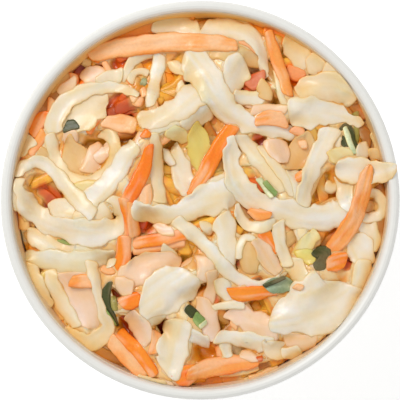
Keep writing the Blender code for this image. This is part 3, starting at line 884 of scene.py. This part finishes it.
def lay_lower_left():
    piece("tan", (2.4, 3, 2.4), (-38.4, -19), (-36.4, -24), (-33.4, -29.4))
    piece("pink", (5, 8.4, 9.6, 9, 6), (-33, -17.6), (-30.6, -20.5), (-28.6, -24), (-27.2, -28),
          (-27, -31.6), warm=(0, 0.2))
    piece("peach", (2.2, 3, 2.8), (-31.8, -19.9), (-28.8, -19.7), (-25.4, -20))
    piece("green", (2, 3, 2), (-38.4, -17.6), (-37.2, -19.8), (-35.8, -22))
    piece("cream", (2.4, 3.2, 3.4, 3, 1.8), (-37, -17), (-36, -20.4), (-34.2, -24.4), (-32.2, -28),
          (-30, -31.2), warm=(0.3, 0))
    piece("white", (2.8, 3.4, 3.2, 2.2), (-41.4, -15.4), (-40.6, -19.2), (-38.8, -23), (-36.8, -26.6),
          warm=(0, 0.2))
    piece("blush", 1.4, (-24, -16.4), (-22.4, -17.2), (-20.8, -17))
    piece("white", 1.6, (-21.8, -16.4), (-21.4, -14.2))
    piece("pink", (2.6, 4, 3), (-20.8, -20), (-18.6, -21), (-16, -20.8))
    piece("olive", 1.4, (-21.6, -23.6), (-20.8, -27))
    piece("dark", (0.8, 1.8, 2, 1.4, 0.7), (-21.7, -19.8), (-22.9, -22.6), (-23, -25.6), (-21.6, -28.6),
          (-20.4, -31))
    piece("leaf", 0.5, (-23.4, -26.6), (-22, -28.8), (-20.9, -30.8))
    piece("cream", (2, 2.2, 2, 1.8, 2, 3.4, 4.2, 4.2, 3.6, 2), (-26.6, -14.6), (-25.8, -18), (-25, -21.6),
          (-24.4, -25), (-23.8, -28), (-22.6, -30.8), (-24, -33.4), (-27.2, -34.9), (-30.6, -34),
          (-33.6, -31.4), warm=(0, 0.3))
    piece("pink", (2.4, 4.4, 4.8, 3), (-17.6, -27.6), (-15.4, -30), (-13.6, -32.6), (-12.4, -35))
    piece("blush", (2.8, 3.6, 3.4, 2.2), (-22.2, -34), (-18.6, -37.6), (-15.4, -41.2), (-13.6, -43.4),
          warm=(0, 0.6))
    piece("peach", (2, 2.8, 2), (-10.4, -32), (-10.4, -35), (-11.6, -37.6), warm=(0, 0.6))
    piece("orange", (2, 2.5, 2.5, 2.2), (-20, -32.2), (-16.8, -35.2), (-13.8, -38.6), (-11, -43),
          warm=(0.3, 0))
    piece("cream", 1.6, (-15.4, -43.2), (-12, -44.4), (-8, -44.9))


def lay_bottom():
    piece("pink", (3, 5, 4.4, 2.6), (0.6, -23.6), (1.4, -27), (2.4, -31), (2.8, -34.6))
    piece("tan", (2, 2.4), (-3, -29), (-0.6, -32.4))
    piece("peach", 1.4, (7.4, -29.6), (9.2, -31))
    piece("peach", 1.6, (4.6, -35.4), (5, -38.6))
    piece("cream", 1.2, (4.4, -42.6), (9.4, -42.4), (14.4, -41))
    piece("orange", (3, 4.6, 3), (-6.4, -43.9), (-3.6, -42.9), (-0.4, -41.8))
    piece("peach", (2, 3.6, 4.2, 4.2, 3.4, 1.6), (-3.4, -42.8), (-0.4, -41.8), (3, -41), (7, -40.4),
          (11, -39.8), (14.6, -39.7), warm=(0.4, 0))
    piece("white", (3.6, 3.2, 2.8, 2.4), (-6.4, -30.4), (-3.4, -32.4), (-0.6, -33.7), (2.4, -34.8))
    piece("white", (4.6, 6.6, 7.4, 7, 5), (-5.2, -28.8), (-5.8, -32), (-6.4, -35.6), (-7.2, -39.2),
          (-8.2, -42.4), warm=(0.1, 0.1))
    piece("dark", (1.6, 2), (-3.3, -25.9), (-1, -28.5))
    piece("leaf", (2, 2.2), (-1.4, -28), (0.9, -30.5))
    piece("pale", 0.6, (-0.2, -31), (1.7, -29.6))
    piece("pink", (3, 5, 6.4, 5), (6.8, -27), (10.4, -28.6), (14.4, -30.6), (19, -32), warm=(0.3, 0))
    piece("white", (0.8, 1.6, 2, 1.2), (3, -26.4), (5.6, -25.8), (8.4, -25.4), (11, -26))
    piece("orange", (2, 3.2, 3, 1.6), (6.8, -22.6), (10.4, -23), (14.6, -22.6), (18.6, -22.2),
          warm=(0, 0.4))
    piece("pink", (1.4, 2.2, 1), (9.8, -37.6), (12.4, -38.4), (14.6, -39))
    piece("red", 0.9, (14, -39), (15.4, -38.7))
    piece("white", (2.6, 2.4, 2), (5.8, -32.8), (6.3, -36), (7, -38.6))
    piece("white", (2.2, 3, 3.6, 4.2), (3.6, -33.6), (7.6, -33.6), (12, -34.4), (17, -35.6),
          warm=(0.2, 0.1))
    piece("cream", (4, 5.8, 4.8), (15.4, -36.6), (18, -36.4), (20, -34.6))
    piece("pink", (3, 4.6, 3), (20.4, -34), (24.4, -34.8), (28.6, -34.4))
    piece("white", (2, 3.2, 1.6), (19.8, -37.6), (22.4, -37.6), (24.8, -36.6))


def lay_lower_right():
    piece("tan", (2.4, 2.8), (27.2, -10.4), (29.4, -9))
    piece("yellow", (2.4, 3.4, 3.8, 3), (28.6, -7.6), (26.6, -10.2), (24.4, -13), (22.4, -15.6))
    piece("green", (3, 3.8, 2.4), (23.6, -14), (26, -13.8), (28.2, -14.2), darken=0.1)
    piece("cream", (3, 4.4, 4, 3), (21, -14.4), (23, -16.4), (24.6, -18.6), (26, -20.4), warm=(0.4, 0))
    piece("white", (2.6, 2.4, 2.8, 2.4), (19.4, -5), (19.3, -9), (20.4, -13), (21.6, -16.4))
    piece("dark", (2, 3.4, 2.6, 1.6), (28, -12), (30.4, -13.3), (29.6, -15.4), (27.6, -16.2))
    piece("white", (3.6, 4.6, 4, 2), (39.8, -14.4), (40, -17.4), (39.2, -20.2), (37.6, -22.8),
          warm=(0, 0.3))
    piece("orange", (2.4, 4, 3), (30.8, -15.8), (33, -15.2), (36, -14.6))
    piece("sage", (1.4, 3.2, 3.4, 1.6), (15.8, -21.4), (18.6, -20.9), (20.8, -20.6), (22.6, -21.2),
          lift=0.35)
    piece("dark", 0.5, (15.4, -21), (18, -19.9), (20.8, -18.8), lift=0.35)
    piece("white", (6, 9.4, 14, 16, 15, 8), (17.2, -28.2), (21.6, -27.6), (26, -26.4), (30.4, -25),
          (34.2, -23.4), (37.4, -20.8), cup=-0.02, tilt=0, warm=(0, 0))
    piece("blush", 1.1, (22.8, -20.8), (25, -21.5))

# ---------------- materials

def new_material(name, sockets):
    """A node material whose shader has these values on its own sockets."""
    material = bpy.data.materials.new(name)
    material.use_nodes = True
    shader = material.node_tree.nodes["Principled BSDF"]
    for socket, value in sockets.items():
        shader.inputs[socket].default_value = value
    return material


def add_grain(material, scale, detail, bump, depth):
    """Gives a material a fine noise in the object's own space, as its bump, and returns its output."""
    nodes, links = material.node_tree.nodes, material.node_tree.links
    place = nodes.new("ShaderNodeTexCoord")
    noise = nodes.new("ShaderNodeTexNoise")
    noise.inputs["Scale"].default_value = scale
    noise.inputs["Detail"].default_value = detail
    links.new(place.outputs["Object"], noise.inputs["Vector"])
    relief = nodes.new("ShaderNodeBump")
    relief.inputs["Strength"].default_value = bump
    relief.inputs["Distance"].default_value = depth * MM
    links.new(noise.outputs["Fac"], relief.inputs["Height"])
    links.new(relief.outputs["Normal"], nodes["Principled BSDF"].inputs["Normal"])
    return noise.outputs["Fac"]


def food_material(name, roughness, scatter, scatter_scale, coat, bump, grain, speckle):
    """A food material: tinted by the mesh's own colours, finely speckled and softly bumpy."""
    material = new_material(name, {
        "Roughness": roughness,
        "Subsurface Weight": scatter,
        "Subsurface Radius": (1.0, 0.8, 0.6),
        "Subsurface Scale": scatter_scale * MM,
        "Coat Weight": coat,
        "Coat Roughness": 0.12,
        "IOR": 1.4,
    })
    noise = add_grain(material, 1 / (grain * MM), 3.0, bump, 0.3)
    nodes, links = material.node_tree.nodes, material.node_tree.links
    tint = nodes.new("ShaderNodeVertexColor")
    tint.layer_name = "tint"
    spread = nodes.new("ShaderNodeMapRange")
    spread.inputs["To Min"].default_value = 1 - speckle
    spread.inputs["To Max"].default_value = 1 + speckle
    links.new(noise, spread.inputs["Value"])
    shade = nodes.new("ShaderNodeMix")
    shade.data_type = "RGBA"
    shade.blend_type = "MULTIPLY"
    shade.inputs["Factor"].default_value = 1.0
    links.new(tint.outputs["Color"], shade.inputs["A"])
    links.new(spread.outputs["Result"], shade.inputs["B"])
    links.new(shade.outputs["Result"], nodes["Principled BSDF"].inputs["Base Color"])
    return material


def paper_material():
    """White board with a satin coat and a faint fibre in it."""
    material = new_material("paper_look", {"Roughness": 0.42, "Coat Weight": 0.15, "Coat Roughness": 0.3})
    noise = add_grain(material, 900.0, 4.0, 0.06, 0.1)
    nodes, links = material.node_tree.nodes, material.node_tree.links
    ramp = nodes.new("ShaderNodeValToRGB")
    ramp.color_ramp.elements[0].color = (*linear(229, 229, 225), 1)
    ramp.color_ramp.elements[1].color = (*linear(236, 236, 232), 1)
    links.new(noise, ramp.inputs["Fac"])
    links.new(ramp.outputs["Color"], nodes["Principled BSDF"].inputs["Base Color"])
    return material


# ---------------- dressing and meshes

CORE_RINGS = 110
CORE_INSET = 1.3                  # the core stays this far from the wall at the top
CORE_FOOT_INSET = 1.5             # and at the foot
FILM_COLUMNS = 360
FILM_ROWS = 7
FILM_DEPTH = 4.0                  # how far below the pile's edge the film on the wall reaches
FILM_EMBEDDED = 0.04              # its back lies this far off the wall


def deep_shade_tint(x, y, z):
    """What remains of each colour with depth below the highest pieces around: painted shade."""
    depth = np.clip((pile.read(x, y, pile_top) - z - 0.7) / 3.0, 0, 1)[..., None]
    return 1 - depth * DEPTH_SHADE


def dressing_level():
    """Where the dressing stands: round the fill, in fillets beside the top pieces, low in the open gaps."""
    level = np.maximum(smoothed(fill_top, 3, 3) + 0.18, smoothed(pile.top, 5, 5) - 0.2)
    open_gap = np.clip(pile.gap_share * 1.6, 0, 1)
    level = level * (1 - open_gap) + np.minimum(level, gap_level) * open_gap
    under_pieces = pile.top > fill_top + 0.15
    beneath = -upper_envelope(-pile.top, 1) - 0.15
    return np.where(under_pieces, np.minimum(level, beneath), level)


def dressing_tint(level):
    """Cream where the dressing stands high; golden below and in hollows, and each open gap in its listed
    colour, as painted shade (the gaps partly pooled dressing).
    """
    depth = np.clip((pile_top - level - 0.6) / 2.2, 0, 1)[..., None]
    tint = HIGH_DRESSING * (1 - depth) + DEEP_DRESSING * depth
    # painted shade in the hollows between pieces
    hollow = np.clip((smoothed(pile.top, 4, 4) - pile.top - 0.02) / 0.4, 0, 1)[..., None]
    tint = tint * (1 - hollow * HOLLOW_SHADE)
    share = pile.gap_share[..., None]
    return tint * (1 - share) + pile.gap_tint * share


def make_mesh(name, points, faces, colours, material):
    mesh = bpy.data.meshes.new(name)
    mesh.from_pydata((points * MM).tolist(), [], faces)
    mesh.update()
    attribute = mesh.color_attributes.new("tint", "FLOAT_COLOR", "POINT")
    rgba = np.concatenate([np.clip(colours, 0, 1), np.ones((len(colours), 1))], axis=1)
    attribute.data.foreach_set("color", rgba.astype(np.float32).ravel())
    mesh.shade_smooth()
    mesh.materials.append(material)
    thing = bpy.data.objects.new(name, mesh)
    bpy.context.scene.collection.objects.link(thing)
    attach(thing, "root")
    return thing


def make_strips(name, strips, material):
    """Joins strips into one mesh. Each is closed: a top and a bottom sheet that share their long edges."""
    all_points, all_colours, faces = [], [], []
    offset = 0
    for x, y, level, body, top_tint, bottom_tint in strips:
        along, across = x.shape
        rest = settled(x, y, level)
        # painted shade with depth
        depth = deep_shade_tint(x, y, level + body)
        upper = np.stack([x, y, rest + body], axis=-1).reshape(-1, 3)
        lower = np.stack([x, y, rest - body], axis=-1)[:, 1:-1].reshape(-1, 3)
        all_points += [upper, lower]
        all_colours += [(top_tint * depth).reshape(-1, 3), (bottom_tint * depth)[:, 1:-1].reshape(-1, 3)]
        up = offset + np.arange(along * across).reshape(along, across)
        down = up.copy()
        down[:, 1:-1] = offset + along * across + np.arange(along * (across - 2)).reshape(along, across - 2)
        quads = np.stack([up[:-1, :-1], up[1:, :-1], up[1:, 1:], up[:-1, 1:]], axis=-1)
        under = np.stack([down[:-1, :-1], down[:-1, 1:], down[1:, 1:], down[1:, :-1]], axis=-1)
        faces += quads.reshape(-1, 4).tolist() + under.reshape(-1, 4).tolist()
        faces.append(up[0].tolist() + down[0, -2:0:-1].tolist())
        faces.append(up[-1, ::-1].tolist() + down[-1, 1:-1].tolist())
        offset += len(upper) + len(lower)
    return make_mesh(name, np.concatenate(all_points), faces, np.concatenate(all_colours), material)


def ring_faces(number, inner, outer):
    """Triangles between two rings of 6 * (number - 1) and 6 * number points that start at these indices."""
    inner_count, outer_count = max(1, 6 * (number - 1)), 6 * number
    for sector in range(6):
        for step in range(number):
            first = outer + (sector * number + step) % outer_count
            second = outer + (sector * number + step + 1) % outer_count
            below = inner + (sector * (number - 1) + step) % inner_count
            yield [first, second, below]
            if step < number - 1:
                beyond = inner + (sector * (number - 1) + step + 1) % inner_count
                yield [second, beyond, below]


def make_core(material):
    """The pile's inside: a closed body whose top is the dressing between the pieces."""
    level = dressing_level()
    tint = dressing_tint(level)
    points, colours, faces = [], [], []
    ring_start = 0
    for number in range(CORE_RINGS + 1):
        count = max(1, 6 * number)
        angle = 2 * math.pi * np.arange(count) / count
        radius = (MOUTH_RADIUS - CORE_INSET) * number / CORE_RINGS
        x, y = radius * np.cos(angle), radius * np.sin(angle)
        points.append(np.stack([x, y, settled(x, y, pile.read(x, y, level))], axis=-1))
        colours.append(pile.read(x, y, tint))
        if number > 0:
            faces += ring_faces(number, ring_start - max(1, 6 * (number - 1)), ring_start)
        ring_start += count
    foot = points[-1].copy()
    foot[:, :2] *= (wall_radius(SLAW_FLOOR) - CORE_FOOT_INSET) / (MOUTH_RADIUS - CORE_INSET)
    foot[:, 2] = SLAW_FLOOR
    edge, foot_start = ring_start - count, ring_start
    for step in range(count):
        following = (step + 1) % count
        faces.append([edge + following, edge + step, foot_start + step, foot_start + following])
    faces.append([foot_start + step for step in reversed(range(count))])
    points = np.concatenate(points + [foot])
    colours = np.concatenate(colours + [colours[-1]])
    core = make_mesh("slaw_core", points, faces, colours, material)
    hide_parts("coleslaw")


def film_colour(angle, share):
    """The wall film's colour by direction and share of the way down: more orange at the far side and lower
    down, painted shade on the wall below the rim over the dressing's pale colour.
    """
    far = 0.5 + 0.5 * math.sin(angle + 0.1)
    weight = (0.2 + 0.8 * far) * min(1, 2.2 * share)
    return PALE_FILM * (1 - weight) + WARM_FILM * weight


def make_film(material):
    """Dressing smeared on the wall between the heap and the bead, thicker at the far side."""
    upper_edge = Field(0.35)
    low = EDGE_LEVEL - FILM_DEPTH
    points, colours, faces = [], [], []
    for column in range(FILM_COLUMNS):
        angle = 2 * math.pi * column / FILM_COLUMNS
        rise = upper_edge.read(np.array([math.cos(angle) * 2.2]), np.array([math.sin(angle) * 2.2]))[0]
        far = min(1, max(0, math.sin(angle - 0.25) * 2))
        high = CUP_HEIGHT - BEAD_RADIUS + 0.3 - (0.8 + 1.2 * (1 - far)) * rise
        shares = [row / (FILM_ROWS - 1) for row in range(FILM_ROWS)]
        face = [(share, 0.10 + (0.25 + 0.55 * far) * share ** 2.2) for share in shares]
        back = [(share, FILM_EMBEDDED) for share in reversed(shares)]
        for share, from_wall in face + back:
            z = high + (low - high) * share
            radius = wall_radius(z) - from_wall
            points.append((radius * math.cos(angle), radius * math.sin(angle), z))
            colours.append(film_colour(angle, share))
    ring = 2 * FILM_ROWS
    for column in range(FILM_COLUMNS):
        here, there = column * ring, (column + 1) % FILM_COLUMNS * ring
        for row in range(ring):
            following = (row + 1) % ring
            faces.append([here + row, here + following, there + following, there + row])
    make_mesh("wall_film", np.array(points), faces, np.array(colours), material)


# ---------------- stage

FLOOR_HALF_SIZE = 3.0             # metres, as are the next two
FLOOR_GAP = 0.0002                # keeps the floor just below the cup's foot
CAMERA_DISTANCE = 0.40            # from the camera to the rim
FRAME_MARGIN = 0.9985             # share of the picture's width that the rim fills


def make_floor():
    material = new_material("floor_look", {
        "Base Color": (0.93, 0.93, 0.93, 1),
        "Roughness": 0.7,
        "Emission Color": (1, 1, 1, 1),
        "Emission Strength": 0.35,
    })
    mesh = bpy.data.meshes.new("floor")
    size = FLOOR_HALF_SIZE
    corners = [(-size, -size, 0), (size, -size, 0), (size, size, 0), (-size, size, 0)]
    mesh.from_pydata(corners, [], [[0, 1, 2, 3]])
    mesh.materials.append(material)
    floor = bpy.data.objects.new("floor", mesh)
    floor.location.z = -FLOOR_GAP
    bpy.context.scene.collection.objects.link(floor)


def make_light(name, place, size, power, colour):
    """A round soft light that points at the slaw."""
    data = bpy.data.lights.new(name, "AREA")
    data.shape = "DISK"
    data.size = size
    data.energy = power
    data.color = colour
    light = bpy.data.objects.new(name, data)
    light.location = place
    aim = np.array([0, 0, CUP_HEIGHT * MM]) - np.array(place)
    aim /= np.linalg.norm(aim)
    light.rotation_euler = (math.acos(-aim[2]), 0, math.atan2(aim[0], -aim[1]) + math.pi)
    bpy.context.scene.collection.objects.link(light)


def make_camera():
    """Looks straight down, with the rim just inside the picture."""
    data = bpy.data.cameras.new("camera")
    camera = bpy.data.objects.new("camera", data)
    camera.location = (0, 0, CUP_HEIGHT * MM + CAMERA_DISTANCE)
    data.sensor_width = 36
    data.lens = 36 * (CAMERA_DISTANCE + BEAD_RADIUS * MM) / (2 * RIM_RADIUS * MM) * FRAME_MARGIN
    data.clip_start = 0.01
    bpy.context.scene.collection.objects.link(camera)
    bpy.context.scene.camera = camera


def make_world():
    world = bpy.data.worlds.new("studio")
    world.use_nodes = True
    background = world.node_tree.nodes["Background"]
    background.inputs["Color"].default_value = (1.0, 0.99, 0.975, 1)
    background.inputs["Strength"].default_value = 0.55
    bpy.context.scene.world = world
    bpy.context.scene.view_settings.view_transform = "Standard"


# ---------------- assembly

# fill that shows in the gaps, darkened and in the gaps' colours as painted shade, then fill that leaves
# them open
golden_tints = ["orange", "cream", "peach", "tan", "peach", "yellow"]
mixed_tints = ["cream", "tan", "cream", "pink", "cream", "blush"]
pale_tints = ["cream", "white", "cream", "pink", "white"]
edge_tints = ["cream", "white", "pink", "cream"]
lay_fill(150, anywhere((12, 24), (2, 3.6)), golden_tints, 0.5, soak_and_shade=0.9)
lay_fill(50, along_wall((43, 45.2), (2, 3.4), (0, 360)), ["cream", "tan", "peach", "pink"], 0.4, soak_and_shade=0.9)
gap_level = smoothed(pile.top, 4, 4) - 0.5
lay_fill(130, anywhere((18, 32), (2.4, 4.2)), mixed_tints, 0.08, room=-0.4)
lay_fill(60, along_wall((43.6, 46.2), (2.2, 3.6), (155, 410)), edge_tints, 0.05, room=-0.2)
lay_fill(70, anywhere((16, 30), (1.6, 3.0)), pale_tints, 0.0, room=-0.3)
lay_fill(40, along_wall((44.6, 46.2), (2, 3.2), (155, 405)), edge_tints, 0.0, room=-0.2)
fill_top = pile.top.copy()

lay_upper_left()
lay_left()
lay_top()
lay_centre()
lay_upper_right()
lay_right()
lay_lower_centre()
lay_lower_left()
lay_bottom()
lay_lower_right()
pile_top = upper_envelope(pile.top, 5)

cabbage_look = food_material("cabbage_look", roughness=0.42, scatter=0.5, scatter_scale=0.6, coat=0.22,
                             bump=0.35, grain=1.3, speckle=0.04)
carrot_look = food_material("carrot_look", roughness=0.40, scatter=0.3, scatter_scale=0.6, coat=0.2,
                            bump=0.5, grain=0.7, speckle=0.10)
herb_look = food_material("herb_look", roughness=0.4, scatter=0.1, scatter_scale=0.6, coat=0.2,
                          bump=0.6, grain=0.5, speckle=0.25)
dressing_look = food_material("dressing_look", roughness=0.30, scatter=0.4, scatter_scale=1.0, coat=0.3,
                              bump=0.25, grain=1.0, speckle=0.05)

make_strips("cabbage_shreds", made["cabbage"], cabbage_look)
make_strips("cabbage_leaves", made["leaf"], cabbage_look)
make_strips("carrot_shreds", made["carrot"], carrot_look)
make_strips("herb_bits", made["herb"], herb_look)
make_core(dressing_look)
make_film(dressing_look)

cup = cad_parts["cup"]
cup.data.materials.clear()
cup.data.materials.append(paper_material())

make_floor()
make_world()
make_light("key", place=(-0.34, 0.38, 0.58), size=0.30, power=2.7, colour=(1.0, 0.99, 0.97))
make_light("fill", place=(0.3, -0.35, 0.7), size=0.6, power=0.9, colour=(1.0, 1.0, 1.0))
make_camera()
